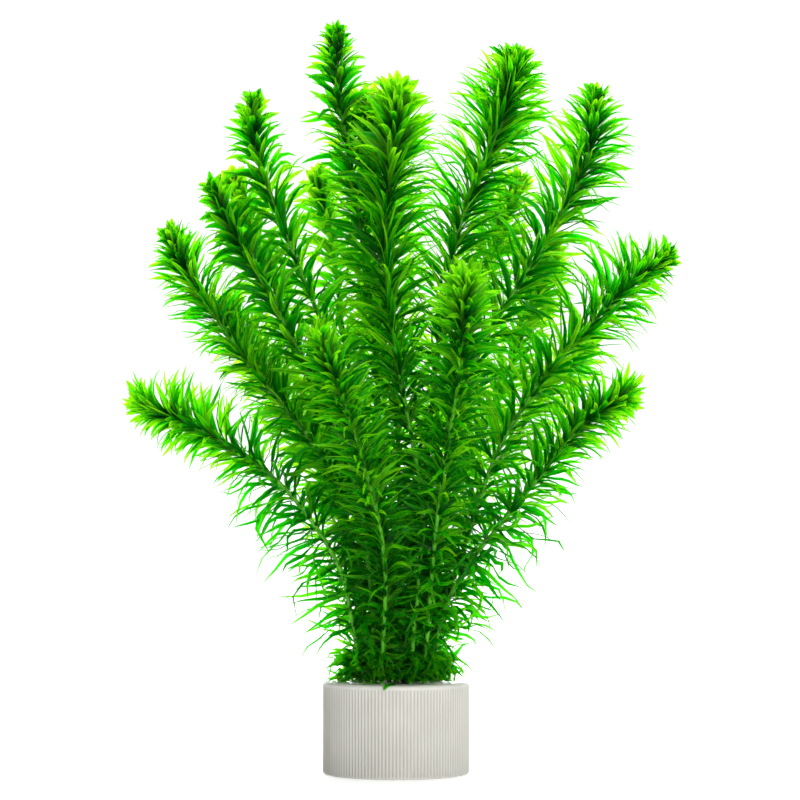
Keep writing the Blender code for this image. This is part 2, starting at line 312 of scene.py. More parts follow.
def turned_plan(sizes):
    """Turns the guide line, half of a section, into a closed body with upright ribs on its wall."""
    plan = Plan("turned_and_ribbed", sizes)
    rows = plan.step("GeometryNodeAttributeDomainSize", plan.base)
    rows = Reading(plan.tree, rows.socket.node.outputs["Point Count"])
    columns = plan.size("Ribs") * plan.size("Faces in a rib")
    sheet = plan.step("GeometryNodeMeshGrid", 1.0, 1.0, columns + 1.0, rows)
    place = plan.step("GeometryNodeInputPosition")
    turn = (place.part(0) + 0.5) * math.tau
    row = ((place.part(1) + 0.5) * (rows - 1.0)).worked("ROUND")
    on_section = plan.step("GeometryNodeSampleIndex", plan.base, place, row, data_type="FLOAT_VECTOR")
    radius, height = on_section.part(0), on_section.part(2)
    wave = (turn * plan.size("Ribs")).worked("COSINE") * 0.5 + 0.5
    low, high, fade = (plan.size(label) for label in ("Rib from", "Rib to", "Rib run-out"))
    ribbed = height.spread(low, low + fade, ease="SMOOTHSTEP")
    ribbed = ribbed * height.spread(high - fade, high, 1.0, 0.0, ease="SMOOTHSTEP")
    ribbed = ribbed * radius.spread(plan.size("Wall radius") - 0.0005, plan.size("Wall radius") - 0.0003)
    groove = wave * ribbed
    radius = radius - groove * plan.size("Rib depth")
    unevenness = plan.step(
        "ShaderNodeTexNoise", direction(turn.worked("COSINE"), turn.worked("SINE"), height * 40.0),
        None, plan.size("Lump scale"), 2.0, noise_dimensions="3D",
    )
    radius = radius + (unevenness - 0.5) * plan.size("Lump depth") * radius.spread(0.0, 0.01)
    shaped = direction(radius * turn.worked("COSINE"), radius * turn.worked("SINE"), height)
    sheet = plan.step("GeometryNodeStoreNamedAttribute", sheet, None, "groove", groove,
                      data_type="FLOAT", domain="POINT")
    body = plan.step("GeometryNodeSetPosition", sheet, None, shaped)
    body = plan.step("GeometryNodeMergeByDistance", body, None, 0.000002)
    body = plan.step("GeometryNodeSetMaterial", body, None, plan.size("Finish"))
    plan.finish(body)
    return plan


def turned(name, section, sizes):
    """A body turned from half of its section, in millimetres, with its faces pointing outwards."""
    points = [(r * MM, 0, z * MM) for r, z in section]
    piece = made_by(turned_plan(sizes), name, sizes, points, [(i, i + 1) for i in range(len(points) - 1)])
    bm = bmesh.new()
    bm.from_mesh(piece.data)
    bmesh.ops.recalc_face_normals(bm, faces=bm.faces)
    bm.to_mesh(piece.data)
    bm.free()
    piece.data.shade_smooth()
    return piece


def white_ceramic():
    """Bare fired clay: off-white, finely speckled, with painted shade darkening the grooves between the ribs."""
    made = bpy.data.materials.new("white_ceramic")
    made.use_nodes = True
    tree = made.node_tree
    shader = tree.nodes["Principled BSDF"]
    shader.inputs["Specular IOR Level"].default_value = 0.35
    place = Reading(tree, tree.nodes.new("ShaderNodeTexCoord").outputs["Object"])
    groove = tree.nodes.new("ShaderNodeAttribute")
    groove.attribute_name = "groove"
    groove_shade = Reading(tree, groove.outputs["Fac"])
    cloud = noise(tree, place, 90.0, 3.0)
    speck = noise(tree, place, 2600.0, 2.0).spread(0.62, 0.72)
    clay = blend(tree, cloud.spread(0.3, 0.7), (0.44, 0.432, 0.405), (0.50, 0.492, 0.468))
    # Painted shade: the grooves between the ribs are darkened to stand in for the shade that falls in them. They
    # are also made a little rougher.
    clay = blend(tree, groove_shade * 0.75, clay, (0.30, 0.288, 0.258))
    clay = blend(tree, speck * 0.25, clay, (0.42, 0.40, 0.36))
    tree.links.new(clay.socket, shader.inputs["Base Color"])
    rough = (cloud.spread(0.3, 0.7, 0.42, 0.56) + groove_shade * 0.2).spread(0.0, 1.0)
    tree.links.new(rough.socket, shader.inputs["Roughness"])
    bump(tree, noise(tree, place, 1800.0, 4.0), 0.00004, 0.35, shader)
    return made


def noise(tree, place, scale, detail):
    node = tree.nodes.new("ShaderNodeTexNoise")
    tree.links.new(place.socket, node.inputs["Vector"])
    node.inputs["Scale"].default_value = scale
    node.inputs["Detail"].default_value = detail
    return Reading(tree, node.outputs["Fac"])


def blend(tree, share, first, second):
    """One colour passing into another as share goes from 0 to 1."""
    node = tree.nodes.new("ShaderNodeMix")
    node.data_type = "RGBA"
    feed(tree, node.inputs["Factor"], share)
    for plug, colour in ((node.inputs[6], first), (node.inputs[7], second)):
        if isinstance(colour, tuple):
            plug.default_value = (*colour, 1)
        else:
            feed(tree, plug, colour)
    return Reading(tree, node.outputs[2])


def bump(tree, height, distance, strength, shader):
    node = tree.nodes.new("ShaderNodeBump")
    node.inputs["Distance"].default_value = distance
    node.inputs["Strength"].default_value = strength
    tree.links.new(height.socket, node.inputs["Height"])
    tree.links.new(node.outputs["Normal"], shader.inputs["Normal"])


pot = turned("ribbed_pot", POT_SECTION, {
    "Ribs": RIBS,
    "Faces in a rib": RIB_FACES,
    "Wall radius": POT_RADIUS * MM,
    "Rib depth": RIB_DEPTH * MM,
    "Rib from": RIB_FROM * MM,
    "Rib to": RIB_TO * MM,
    "Rib run-out": RIB_RUN_OUT * MM,
    "Lump scale": 1.4,
    "Lump depth": 0.06 * MM,
    "Finish": white_ceramic(),
})
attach(pot, "root")
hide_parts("pot")


# Plug: a round of soft open foam, cut to size and pushed into the bore, that grips the stems' feet.
# Its top is a little crowned and stands just below the pot's top.

PLUG_TOP = POT_HEIGHT - 0.8
PLUG_RADIUS = 13.65
PLUG_SECTION = (
    (0, 4.8), (8, 4.8), (12.6, 4.85), (13.3, 5.3), (13.62, 6.2), (13.65, 12), (13.65, 20),
    (13.62, 26.2), (13.45, 26.9), (12.9, 27.35), (11.5, 27.6), (9.5, 27.68), (7.5, 27.7),
    (5.5, 27.72), (3.5, 27.72), (1.8, 27.72), (0, 27.72),
)


def open_foam():
    """Pale foam full of small pores, damp and slightly green, with painted shade making the pores dark."""
    made = bpy.data.materials.new("open_foam")
    made.use_nodes = True
    tree = made.node_tree
    shader = tree.nodes["Principled BSDF"]
    shader.inputs["Specular IOR Level"].default_value = 0.25
    shader.inputs["Roughness"].default_value = 0.85
    place = Reading(tree, tree.nodes.new("ShaderNodeTexCoord").outputs["Object"])
    cells = tree.nodes.new("ShaderNodeTexVoronoi")
    tree.links.new(place.socket, cells.inputs["Vector"])
    cells.inputs["Scale"].default_value = 1500.0
    wall = Reading(tree, cells.outputs["Distance"]).spread(0.1, 0.55)
    stain = noise(tree, place, 160.0, 3.0).spread(0.35, 0.7)
    foam = blend(tree, stain, (0.62, 0.66, 0.55), (0.38, 0.46, 0.28))
    # Painted shade: the pores get a dark colour that stands in for the shade inside them.
    foam = blend(tree, wall, (0.12, 0.15, 0.08), foam)
    tree.links.new(foam.socket, shader.inputs["Base Color"])
    bump(tree, wall, 0.0002, 0.8, shader)
    return made


plug = turned("foam_plug", PLUG_SECTION, {
    "Ribs": 48,
    "Faces in a rib": 2,
    "Wall radius": 1.0,
    "Rib depth": 0.0,
    "Rib from": 0.0,
    "Rib to": 1.0,
    "Rib run-out": 0.1,
    "Lump scale": 9.0,
    "Lump depth": 0.3 * MM,
    "Finish": open_foam(),
})
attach(plug, "root")
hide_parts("plug")


# Shoots: soft round water stems, each ringed from its tip to the pot with whorls of narrow pointed
# leaves that rise along the stem and curl back. The feet are pushed into the foam. A young tip is a
# tight blunt rosette, and the oldest leaves, near the pot, are thin, twisted and hang down.

STEM_FOOT = 12.0
STEM_COLLAR = PLUG_TOP + 1.0
# Each stem: its foot in the plug, then the points that it passes above the pot, to its tip
STEMS = {
    "shoot_centre": ((4.4, -7.6), (7.0, -12, 61), (7.4, -14, 87), (0.3, -12, 126.5),
                     (-3.5, -7, 162), (-0.6, -4, 192), (0.8, -4, 205)),
    "shoot_tallest": ((-2.2, 3.8), (-3.2, 6.5, 65), (-5.0, 9, 105), (-7.8, 10, 143),
                      (-14.3, 8, 189), (-17.6, 7, 207.5), (-18.8, 6, 226)),
    "shoot_upper_right": ((2.2, 3.8), (5.0, 4, 62), (9.5, 5, 99), (13.0, 5, 130),
                          (19.5, 4, 168), (31.2, 2, 197), (36.3, 2, 216.2)),
    "shoot_tall_right": ((4.4, 0), (9.0, 1, 65), (17.2, 2, 102), (26.5, 3, 131),
                         (44.3, 4, 160.5), (58.2, 4, 187), (61.6, 4, 206)),
    "shoot_upper_left": ((-4.4, 0), (-5.8, 0, 65), (-10.5, -1, 99), (-18.5, -2, 127),
                         (-32.5, -1, 162), (-42.6, 0, 190), (-43.6, 0, 204.5)),
    "shoot_outer_right": ((8.8, 0), (13.5, -2, 47), (21.0, -4, 70), (32.3, -6, 101.5),
                          (50.0, -8, 127), (71.5, -8, 150), (81.0, -8, 157)),
    "shoot_outer_left": ((-8.8, 0), (-10.2, 0, 53), (-15.2, 0, 78), (-24.0, -1, 99),
                         (-47.2, -2, 128.5), (-64.5, -2, 154.5), (-68.6, -2, 163.2)),
    "shoot_mid_left": ((-6.6, -3.8), (-7.8, -5, 56.5), (-11.4, -7, 84), (-19.5, -9, 108.5),
                       (-35.0, -10, 140), (-49.8, -8, 166.5), (-55.3, -8, 177.6)),
    "shoot_low_left": ((-11, -3.8), (-13.5, -6, 47), (-18.0, -8, 65), (-33.7, -12, 87.5),
                       (-54.5, -15, 103), (-73.6, -16, 111.6)),
    "shoot_low_right": ((11, -3.8), (13.4, -6, 46), (20.5, -9, 62), (38.8, -13, 85.5),
                        (56.6, -17, 107.2), (66.8, -18, 114.2)),
    "shoot_front_left": ((-4.4, -7.6), (-3.2, -16, 60), (-5.1, -22, 77.5), (-10.0, -30, 96.5),
                         (-16.5, -37, 117), (-22.0, -41, 131)),
    "shoot_front_right": ((8.8, -7.6), (11.0, -15, 63), (13.8, -23, 90.5), (18.4, -33, 119.5),
                          (20.6, -41.8, 146.3)),
    "shoot_centre_back": ((0, 0), (1.0, 4, 65), (0.0, 12, 114.5), (-3.9, 16, 161),
                          (-7.2, 14, 191), (-8.7, 14, 203.5)),
    "shoot_mid_left_back": ((-6.6, 3.8), (-8.4, 6, 59), (-16.2, 9, 93), (-28.3, 12, 124),
                            (-45.0, 14, 168), (-50.0, 14, 180.5)),
    "shoot_outer_left_back": ((-11, 3.8), (-13.6, 8, 62), (-23.0, 12, 93), (-37.0, 16, 116),
                              (-52.5, 18, 143)),
    "shoot_back_left": ((-4.4, 7.6), (-5.6, 11, 65), (-9.7, 17, 99), (-15.8, 23, 130),
                        (-20.5, 27, 165), (-24.5, 28, 182)),
    "shoot_back_tall": ((4.4, 7.6), (4.6, 12, 55), (8.6, 19, 89.5), (17.0, 27, 127),
                        (30.5, 32, 162), (38.5, 33, 182)),
    "shoot_back_right": ((6.6, 3.8), (10.5, 9, 56), (19.3, 17.5, 87), (34.0, 24, 121),
                         (49.0, 27, 160)),
    "shoot_back_centre": ((0, 7.6), (-0.8, 15, 65), (-2.6, 26, 99), (-5.1, 36, 131),
                          (-6.7, 40, 149)),
    "shoot_low_right_back": ((11, 3.8), (18.8, 10, 71), (34.5, 22, 99), (59.5, 36, 131)),
    "shoot_low_left_back": ((-8.8, 7.6), (-12.2, 13, 62), (-22.3, 24, 92), (-46.0, 38, 130)),
    "shoot_rear_right": ((2.2, 11.4), (7.2, 19, 52), (13.8, 32, 77), (20.4, 48, 105),
                         (23.6, 58, 121)),
    "shoot_rear_left": ((-2.2, 11.4), (-3.8, 17, 46), (-9.8, 29, 70), (-17.0, 46, 98),
                        (-23.0, 57, 115)),
}
# Shoots at the back take a paler, limer copy of the leaf finish. This is painted light, as if they were lit from
# behind.
PAINTED_BACKLIT_SHOOTS = ("back", "rear")
SPAN_STEPS = 12

SHOOT_SIZES = {
    # lengths in millimetres, made metres below
    "Stem radius": 0.66,
    "Tip radius": 0.6,
    "Step at tip": 1.3,
    "Step when grown": 5.2,
    "Grown at": 85.0,
    "Firm at": 30.0,
    "Bud": 5.0,
    "Open at": 14.0,
    "Long at": 24.0,
    "Old from": 70.0,
    "Old at": 125.0,
    "Bare foot": 0.3,
    "Foot tangle": 7.0,
    "Crowded below": 58.0,
    "Upper side longer": 0.18,
    # how much limer the young crown is painted, standing in for light from above
    "Lime crown": 0.1,
    "Young leaf": 6.0,
    "Grown leaf": 16.0,
    "Old leaf": 14.0,
    "Young width": 1.5,
    "Grown width": 1.2,
    "Old width": 1.25,
}
SHOOT_ANGLES = {
    # degrees from the stem, at the leaf's base and at its tip, made radians below
    "Young lean": 8.0,
    "Grown lean": 40.0,
    "Old lean": 62.0,
    "Young tip lean": 46.0,
    "Grown tip lean": 86.0,
    "Old tip lean": 112.0,
    "Roll": 80.0,
}
LEAVES_IN_WHORL = 12
PLAIN_NUMBERS = ("Leaves in whorl", "Upper side longer", "Lime crown")
FOOT_WHORLS = 9
# How the shoots differ from those sizes: a slender one grows slowly and has fewer, shorter leaves,
# a broad one has a wide open crown and long leaves, and a shaded one has few, thin leaves
SHOOT_KINDS = {
    "slender": {"Leaves in whorl": 7, "Long at": 38.0, "Grown leaf": 15.5, "Young width": 2.1,
                "Grown width": 1.8},
    "bushy": {},
    "arching": {"Leaves in whorl": 11, "Long at": 34.0, "Grown leaf": 20.5, "Old leaf": 16.5,
                "Young leaf": 6.5, "Young width": 1.5, "Grown width": 1.4},
    "spreading": {"Leaves in whorl": 12, "Long at": 20.0, "Grown leaf": 15.5, "Old leaf": 22.5,
                  "Old from": 26.0, "Old at": 60.0, "Open at": 9.0, "Young leaf": 10.5,
                  "Young width": 1.5, "Grown width": 1.3, "Old width": 1.35, "Lime crown": 0.35},
    "broad": {"Leaves in whorl": 14, "Young leaf": 8.0, "Grown leaf": 20.5, "Step when grown": 4.6,
              "Grown at": 100.0, "Young width": 1.9, "Grown width": 1.2},
    "crowned": {"Leaves in whorl": 11, "Young leaf": 9.5, "Grown leaf": 20.0, "Step when grown": 4.6,
                "Grown at": 100.0, "Young width": 2.4, "Grown width": 1.4, "Lime crown": 0.8},
    "leaning": {"Leaves in whorl": 12, "Young leaf": 11.0, "Grown leaf": 16.0, "Step when grown": 4.6,
                "Young width": 2.2, "Grown width": 1.0, "Old width": 1.15, "Lime crown": 0.9},
    "fringed": {"Leaves in whorl": 13, "Young leaf": 8.0, "Grown leaf": 15.0, "Step when grown": 4.6,
                "Young width": 1.3, "Grown width": 1.0, "Old width": 1.15, "Lime crown": 0.35},
    "sparse": {"Leaves in whorl": 7, "Young leaf": 7.0, "Grown leaf": 14.5, "Step when grown": 6.0,
               "Young width": 2.2, "Grown width": 1.7, "Lime crown": 0.4},
    "shaded": {"Leaves in whorl": 8, "Young leaf": 7.0, "Step when grown": 6.0, "Young width": 1.5,
               "Grown width": 1.1, "Old from": 45.0, "Old at": 90.0, "Old width": 1.1},
}
SHOOTS_OF_KIND = {
    "slender": ("shoot_tallest", "shoot_upper_left", "shoot_mid_left"),
    "arching": ("shoot_tall_right", "shoot_outer_right"),
    "spreading": ("shoot_low_left", "shoot_low_right"),
    "broad": ("shoot_upper_right",),
    "crowned": ("shoot_centre", "shoot_centre_back"),
    "leaning": ("shoot_front_right",),
    "fringed": ("shoot_front_left",),
    "sparse": ("shoot_back_left", "shoot_mid_left_back"),
    "shaded": ("shoot_back_centre", "shoot_rear_left", "shoot_rear_right", "shoot_low_left_back",
               "shoot_low_right_back"),
}
# Half of a leaf, as its share of the way to the tip and its share of the full width
BLADE = ((0, 0.45), (0.12, 0.75), (0.3, 0.97), (0.48, 1), (0.65, 0.88), (0.82, 0.58), (0.94, 0.25))
LEAF_THINNESS = 0.88
BROWN = (0.30, 0.22, 0.03)
# Pale spot at the foot of a leaf: a painted highlight that stands in for small glints among the leaves
PAINTED_HEEL_GLINT = (0.36, 0.80, 0.06)
CORE_BLUE = 0.45
BLADE_FOLD = 0.32
BLADE_THICKNESS = 0.07


def make_blade():
    """The pattern leaf: one long, half a wide each side, folded up a little from its midrib."""
    points, across, faces = [], [], []
    for along, wide in BLADE:
        half = 0.5 * wide
        for x, z, side in ((-half, BLADE_FOLD * half, -1), (0, BLADE_THICKNESS, 0),
                           (half, BLADE_FOLD * half, 1), (0, -BLADE_THICKNESS * 0.6, 0)):
            points.append((x, along, z))
            across.append((side, along, 0))
    for row in range(len(BLADE) - 1):
        for i in range(4):
            j = (i + 1) % 4
            faces.append((4 * row + i, 4 * row + j, 4 * row + 4 + j, 4 * row + 4 + i))
    faces.append((3, 2, 1, 0))
    points.append((0, 1, 0))
    across.append((0, 1, 0))
    last = 4 * (len(BLADE) - 1)
    faces += [(last + i, last + (i + 1) % 4, len(points) - 1) for i in range(4)]
    mesh = bpy.data.meshes.new("blade")
    mesh.from_pydata(points, [], faces)
    marks = mesh.attributes.new("blade", "FLOAT_VECTOR", "POINT")
    for mark, value in zip(marks.data, across):
        mark.vector = value
    bm = bmesh.new()
    bm.from_mesh(mesh)
    bmesh.ops.recalc_face_normals(bm, faces=bm.faces)
    bm.to_mesh(mesh)
    bm.free()
    return bpy.data.objects.new("blade", mesh)


def shoot_plan(sizes):
    """Grows a stem along the guide line, from foot to tip, and its leaves in whorls."""
    plan = Plan("leafy_shoot", sizes)
    size, seed = plan.size, plan.size("Seed")
    route = plan.step("GeometryNodeMeshToCurve", plan.base)
    whole = plan.step("GeometryNodeCurveLength", route)

    # Whorl n from the tip: the steps between whorls widen evenly to where the stem is grown
    first, grown_step, grown_at = size("Step at tip"), size("Step when grown"), size("Grown at")
    widening = (grown_step - first) / grown_at
    ratio_log = (widening + 1.0).worked("LOGARITHM", math.e)
    grown_whorl = (widening * grown_at / first + 1.0).worked("LOGARITHM", math.e) / ratio_log

    # Each leaf's whorl, and how far down from the tip and how far round the stem it grows
    index = plan.step("GeometryNodeInputIndex")
    per = size("Leaves in whorl")
    whorl = (index / per + 0.001).worked("FLOOR")
    member = index - whorl * per
    set_off = whorl + plan.chance(-0.26, 0.26, seed + 1.0)
    set_off = set_off.worked("MAXIMUM", 0.0)
    young_part = ((ratio_log * set_off).worked("EXPONENT") - 1.0) * first / widening
    grown_part = (set_off - grown_whorl) * grown_step + grown_at
    is_young = set_off.worked("LESS_THAN", grown_whorl)
    down = young_part * is_young + grown_part * (is_young * -1.0 + 1.0)
    lowest = whole - size("Foot in plug") - size("Bare foot")
    down = down.worked("MINIMUM", lowest - plan.chance(0.0, size("Foot tangle"), seed + 13.0))
    turn = member * math.tau / per + whorl * 0.93 + plan.chance(-0.3, 0.3, seed + 2.0)

    age = (down / size("Firm at")).spread(0.0, 1.0)
    opened = (down / size("Open at")).spread(0.0, 1.0) ** 0.7
    long = (down / size("Long at")).spread(0.0, 1.0) * (math.pi / 2)
    long = long.worked("SINE") ** 0.8
    old = down.spread(size("Old from"), size("Old at"), ease="SMOOTHSTEP")

    def by_age(what, share):
        """A size that passes from a young leaf's to a grown one's to an old one's."""
        young, grown, last = (size(f"{stage} {what}") for stage in ("Young", "Grown", "Old"))
        return (young + (grown - young) * share) + (last - grown) * old

    uneven = old * 0.2 + 0.18
    length = by_age("leaf", long) * (plan.chance(-1.0, 0.5, seed + 3.0) * uneven + 1.0)
    width = by_age("width", age) * plan.chance(0.8, 1.15, seed + 4.0)
    lean = by_age("lean", opened) + plan.chance(-0.4, 0.35, seed + 5.0) * (opened * 0.7 + old * 0.5 + 0.3)
    tip_lean = by_age("tip lean", opened) + plan.chance(-0.75, 0.6, seed + 6.0) * (old * 0.9 + 1.0)
    slack = old * 0.75 + age * 0.35 + 0.1
    sway = plan.chance(-0.7, 0.7, seed + 7.0) * slack
    length = length / (sway * sway * 1.33 + 1.0) ** 0.5
    twist = plan.chance(-2.6, 2.6, seed + 8.0) * slack
    roll = plan.chance(-1.0, 1.0, seed + 10.0) * size("Roll")
    ripple = plan.chance(-0.15, 0.15, seed + 11.0) * slack
    ripple_from = plan.chance(0.0, math.tau, seed + 12.0)

    on_route = plan.step(
        "GeometryNodeSampleCurve", route, None, whole - down, None,
        mode="LENGTH", data_type="FLOAT", use_all_curves=False,
    ).socket.node
    place, heading, side = (Reading(plan.tree, on_route.outputs[label])
                            for label in ("Position", "Tangent", "Normal"))
    beside = heading.worked("CROSS_PRODUCT", side)
    outward = side * turn.worked("COSINE") + beside * turn.worked("SINE")
    stem_here = size("Tip radius") + (size("Stem radius") - size("Tip radius")) * age

    # Painted light: young leaves near the tip get a limer tone, standing in for light that falls on the crown
    # from above.
    tone = plan.chance(0.0, 1.0, seed + 9.0) + size("Lime crown") * (age * -1.0 + 1.0) ** 2.0

    # Low down, where the stems crowd together, the leaves are shorter and stand up
    room = place.part(2).spread(size("Pot top"), size("Crowded below"), ease="SMOOTHSTEP")
    off_axis = (place.part(0) * place.part(0) + place.part(1) * place.part(1)) ** 0.5
    # Painted light: low down, leaves on stems away from the middle get a limer tone, standing in for light from
    # behind that shines through the edge of the bunch.
    tone = tone + (room * -1.0 + 1.0) * off_axis.spread(0.008, 0.018) * 0.5
    length = length * (room * 0.5 + 0.5)
    length = length * (outward.part(2) * size("Upper side longer") * (old * -1.0 + 1.0) + 1.0)
    lean = lean * (room * 0.2 + 0.8)
    tip_lean = tip_lean + (room * -1.0 + 1.0) * 0.6
    bend = (tip_lean - lean).worked("MAXIMUM", 0.08)

    leaves = plan.step("GeometryNodePoints", size("Leaves"), (0.0, 0.0, 0.0))
    facts = {
        "seat": place + outward * stem_here * 0.7,
        "heading": heading,
        "outward": outward,
        "form": direction(length, lean, bend),
        "sway": direction(sway, twist, width),
        "growth": direction(age, tone, old),
        "bud": direction((down / size("Bud")).spread(0.0, 1.0, 1.0, 0.0), 0.0, 0.0),
        "roll": direction(roll, ripple, ripple_from),
    }
    for label, fact in facts.items():
        leaves = plan.step("GeometryNodeStoreNamedAttribute", leaves, None, label, fact,
                           data_type="FLOAT_VECTOR", domain="POINT")
    pattern = plan.step("GeometryNodeObjectInfo", size("Blade"), out=4)
    leaves = plan.step("GeometryNodeInstanceOnPoints", leaves, None, pattern)
    leaves = plan.step("GeometryNodeRealizeInstances", leaves)
    leaves = plan.step("GeometryNodeSetPosition", leaves, None, bent_leaf(plan, facts))
    leaves = plan.step("GeometryNodeSetMaterial", leaves, None, size("Leaf finish"))

    # The stem, a little swollen at each whorl
    stem = plan.step("GeometryNodeResampleCurve", route, None, size("Stem step"), mode="LENGTH")
    gone = plan.step("GeometryNodeSplineParameter", out=1)
    stem_down = whole - gone
    whorl_here_young = (stem_down * widening / first + 1.0).worked("LOGARITHM", math.e) / ratio_log
    whorl_here_grown = (stem_down - grown_at) / grown_step + grown_whorl
    still_young = stem_down.worked("LESS_THAN", grown_at)
    whorl_here = whorl_here_young * still_young + whorl_here_grown * (still_young * -1.0 + 1.0)
    swelling = (whorl_here * math.tau).worked("COSINE").spread(0.0, 1.0) ** 5.0
    stem_age = (stem_down / size("Firm at")).spread(0.0, 1.0)
    thick = size("Tip radius") + (size("Stem radius") - size("Tip radius")) * stem_age
    thick = thick * (swelling * 0.22 + 1.0)
    stem = plan.step("GeometryNodeStoreNamedAttribute", stem, None, "node",
                     direction(swelling, stem_age, stem_down.spread(size("Long at"), size("Old at"))),
                     data_type="FLOAT_VECTOR", domain="POINT")
    ring = plan.step("GeometryNodeCurvePrimitiveCircle", 7, 1.0)
    tube = plan.step("GeometryNodeCurveToMesh", stem, ring, thick, True)
    tube = plan.step("GeometryNodeSetMaterial", tube, None, size("Stem finish"))
    both = plan.tree.nodes.new("GeometryNodeJoinGeometry")
    for part in (tube, leaves):
        plan.tree.links.new(part.socket, both.inputs[0])
    plan.finish(both.outputs[0])
    return plan


def bent_leaf(plan, facts):
    """Where each point of a pattern leaf goes: along an arc away from the stem, swayed and twisted."""
    known = {
        label: plan.step("GeometryNodeInputNamedAttribute", label, data_type="FLOAT_VECTOR")
        for label in facts
    }
    length, lean, bend = (known["form"].part(i) for i in range(3))
    sway, twist, width = (known["sway"].part(i) for i in range(3))
    point = plan.step("GeometryNodeInputPosition")
    across, along, up = (point.part(i) for i in range(3))
    angle = lean + bend * along
    sine, cosine = angle.worked("SINE"), angle.worked("COSINE")
    out_by = (lean.worked("COSINE") - cosine) / bend * length
    up_by = (sine - lean.worked("SINE")) / bend * length
    outward, heading = known["outward"], known["heading"]
    sideways = heading.worked("CROSS_PRODUCT", outward)
    face = heading * sine - outward * cosine
    turned_by = twist * along + known["roll"].part(0)
    wide = sideways * turned_by.worked("COSINE") + face * turned_by.worked("SINE")
    thin = face * turned_by.worked("COSINE") - sideways * turned_by.worked("SINE")
    spine = known["seat"] + outward * out_by + heading * up_by
    spine = spine + sideways * (sway * along * along * length)
    ripple = (along * 8.0 + known["roll"].part(2)).worked("SINE") * known["roll"].part(1)
    spine = spine + face * (ripple * along * length)
    spine = spine + direction(0.0, 0.0, known["growth"].part(2) * along * along * length * -0.08)
    blunt = known["bud"].part(0) * along + 1.0
    placed = spine + wide * (across * width * blunt) + thin * (up * width)

    # A leaf that would dip into the pot lies on its top
    x, y, z = (placed.part(i) for i in range(3))
    from_axis = (x * x + y * y) ** 0.5
    rest = plan.size("Pot top") + up * width + 0.0003
    lying = z.worked("MAXIMUM", rest)
    over_pot = from_axis.worked("LESS_THAN", plan.size("Pot radius") + 0.003)
    return direction(x, y, lying * over_pot + z * (over_pot * -1.0 + 1.0))


def leaf_green(name, lit, glowing):
    """Thin wet leaf, two cells thick: dark to look at, but lime where light comes through it."""
    made = bpy.data.materials.new(name)
    made.use_nodes = True
    tree = made.node_tree
    shader = tree.nodes["Principled BSDF"]
    shader.inputs["Roughness"].default_value = 0.40
    shader.inputs["Specular IOR Level"].default_value = 0.4
    place = Reading(tree, tree.nodes.new("ShaderNodeTexCoord").outputs["Object"])
    marks = {}
    for label in ("blade", "growth"):
        node = tree.nodes.new("ShaderNodeAttribute")
        node.attribute_name = label
        marks[label] = Reading(tree, node.outputs["Vector"])
    side, along = marks["blade"].part(0), marks["blade"].part(1)
    age, tone, old = (marks["growth"].part(i) for i in range(3))
    rib = (side * side).spread(0.0, 0.12, 1.0, 0.0)
    # Painted highlight: a lime rim along the margins of each leaf.
    margin_highlight = (side * side).spread(0.4, 1.0)
    mottle = noise(tree, place, 700.0, 3.0).spread(0.5, 0.75)
    flecks = noise(tree, place, 420.0, 2.0).spread(0.62, 0.72) * (old * 0.25 + 0.04)
    young = age.spread(0.1, 0.6, 1.0, 0.0) * along.spread(0.3, 0.8)
    # The bases of young leaves in the rosette at the tip pass to a dark teal. This is a teal tint, darkened by
    # painted shade in the crowded core.
    core = age.spread(0.3, 0.7, 0.8, 0.0) * along.spread(0.1, 0.6, 1.0, 0.0)
    # Painted highlight: a pale spot at the foot of the leaves, fainter on old ones, standing in for small
    # glints.
    heel_glint = along.spread(0.04, 0.14, 1.0, 0.0) * tone.spread(0.3, 0.6) * age.spread(0.3, 0.8) * (old * -0.7 + 1.0)

    def shaded(base, middle, tip, lime, youth, core_blue, old_dull):
        green = blend(tree, along.spread(0.15, 0.6), base, middle)
        # Old leaves, low on the stem, lose their lime tips. This is partly their older colour and partly painted
        # shade low in the bunch.
        limed = along.spread(0.4, 0.9, ease="SMOOTHSTEP") * (old * (old_dull * -1.6) + 1.0)
        green = blend(tree, limed, green, tip)
        green = blend(tree, young * youth, green, tip)
        green = blend(tree, tone.spread(0.62, 0.9) * (old * -0.3 + 0.8), green, lime)
        green = blend(tree, tone.spread(0.5, 0.15) * 0.7, green, base)
        green = blend(tree, rib * 0.45, green, base)
        green = blend(tree, margin_highlight * along.spread(0.1, 0.4) * (old * -0.25 + 0.45), green, lime)
        green = blend(tree, mottle * 0.3, green, base)
        green = blend(tree, flecks, green, tuple(0.5 * level for level in BROWN))
        # Old leaves darken to the base green. This is partly their older colour and partly painted shade low in
        # the bunch.
        green = blend(tree, old * old_dull, green, base)
        green = blend(tree, core, green, (0.0, base[1], base[1] * core_blue))
        return blend(tree, heel_glint, green, PAINTED_HEEL_GLINT)

    tree.links.new(shaded(*lit, 0.0, CORE_BLUE, 0.5).socket, shader.inputs["Base Color"])
    bump(tree, noise(tree, place, 2400.0, 2.0), 0.00005, 0.3, shader)
    glow = tree.nodes.new("ShaderNodeBsdfTranslucent")
    tree.links.new(shaded(*glowing, 0.6, 0.1, 0.25).socket, glow.inputs["Color"])
    both = tree.nodes.new("ShaderNodeMixShader")
    both.inputs[0].default_value = LEAF_THINNESS
    tree.links.new(shader.outputs[0], both.inputs[1])
    tree.links.new(glow.outputs[0], both.inputs[2])
    tree.links.new(both.outputs[0], tree.nodes["Material Output"].inputs["Surface"])
    return made


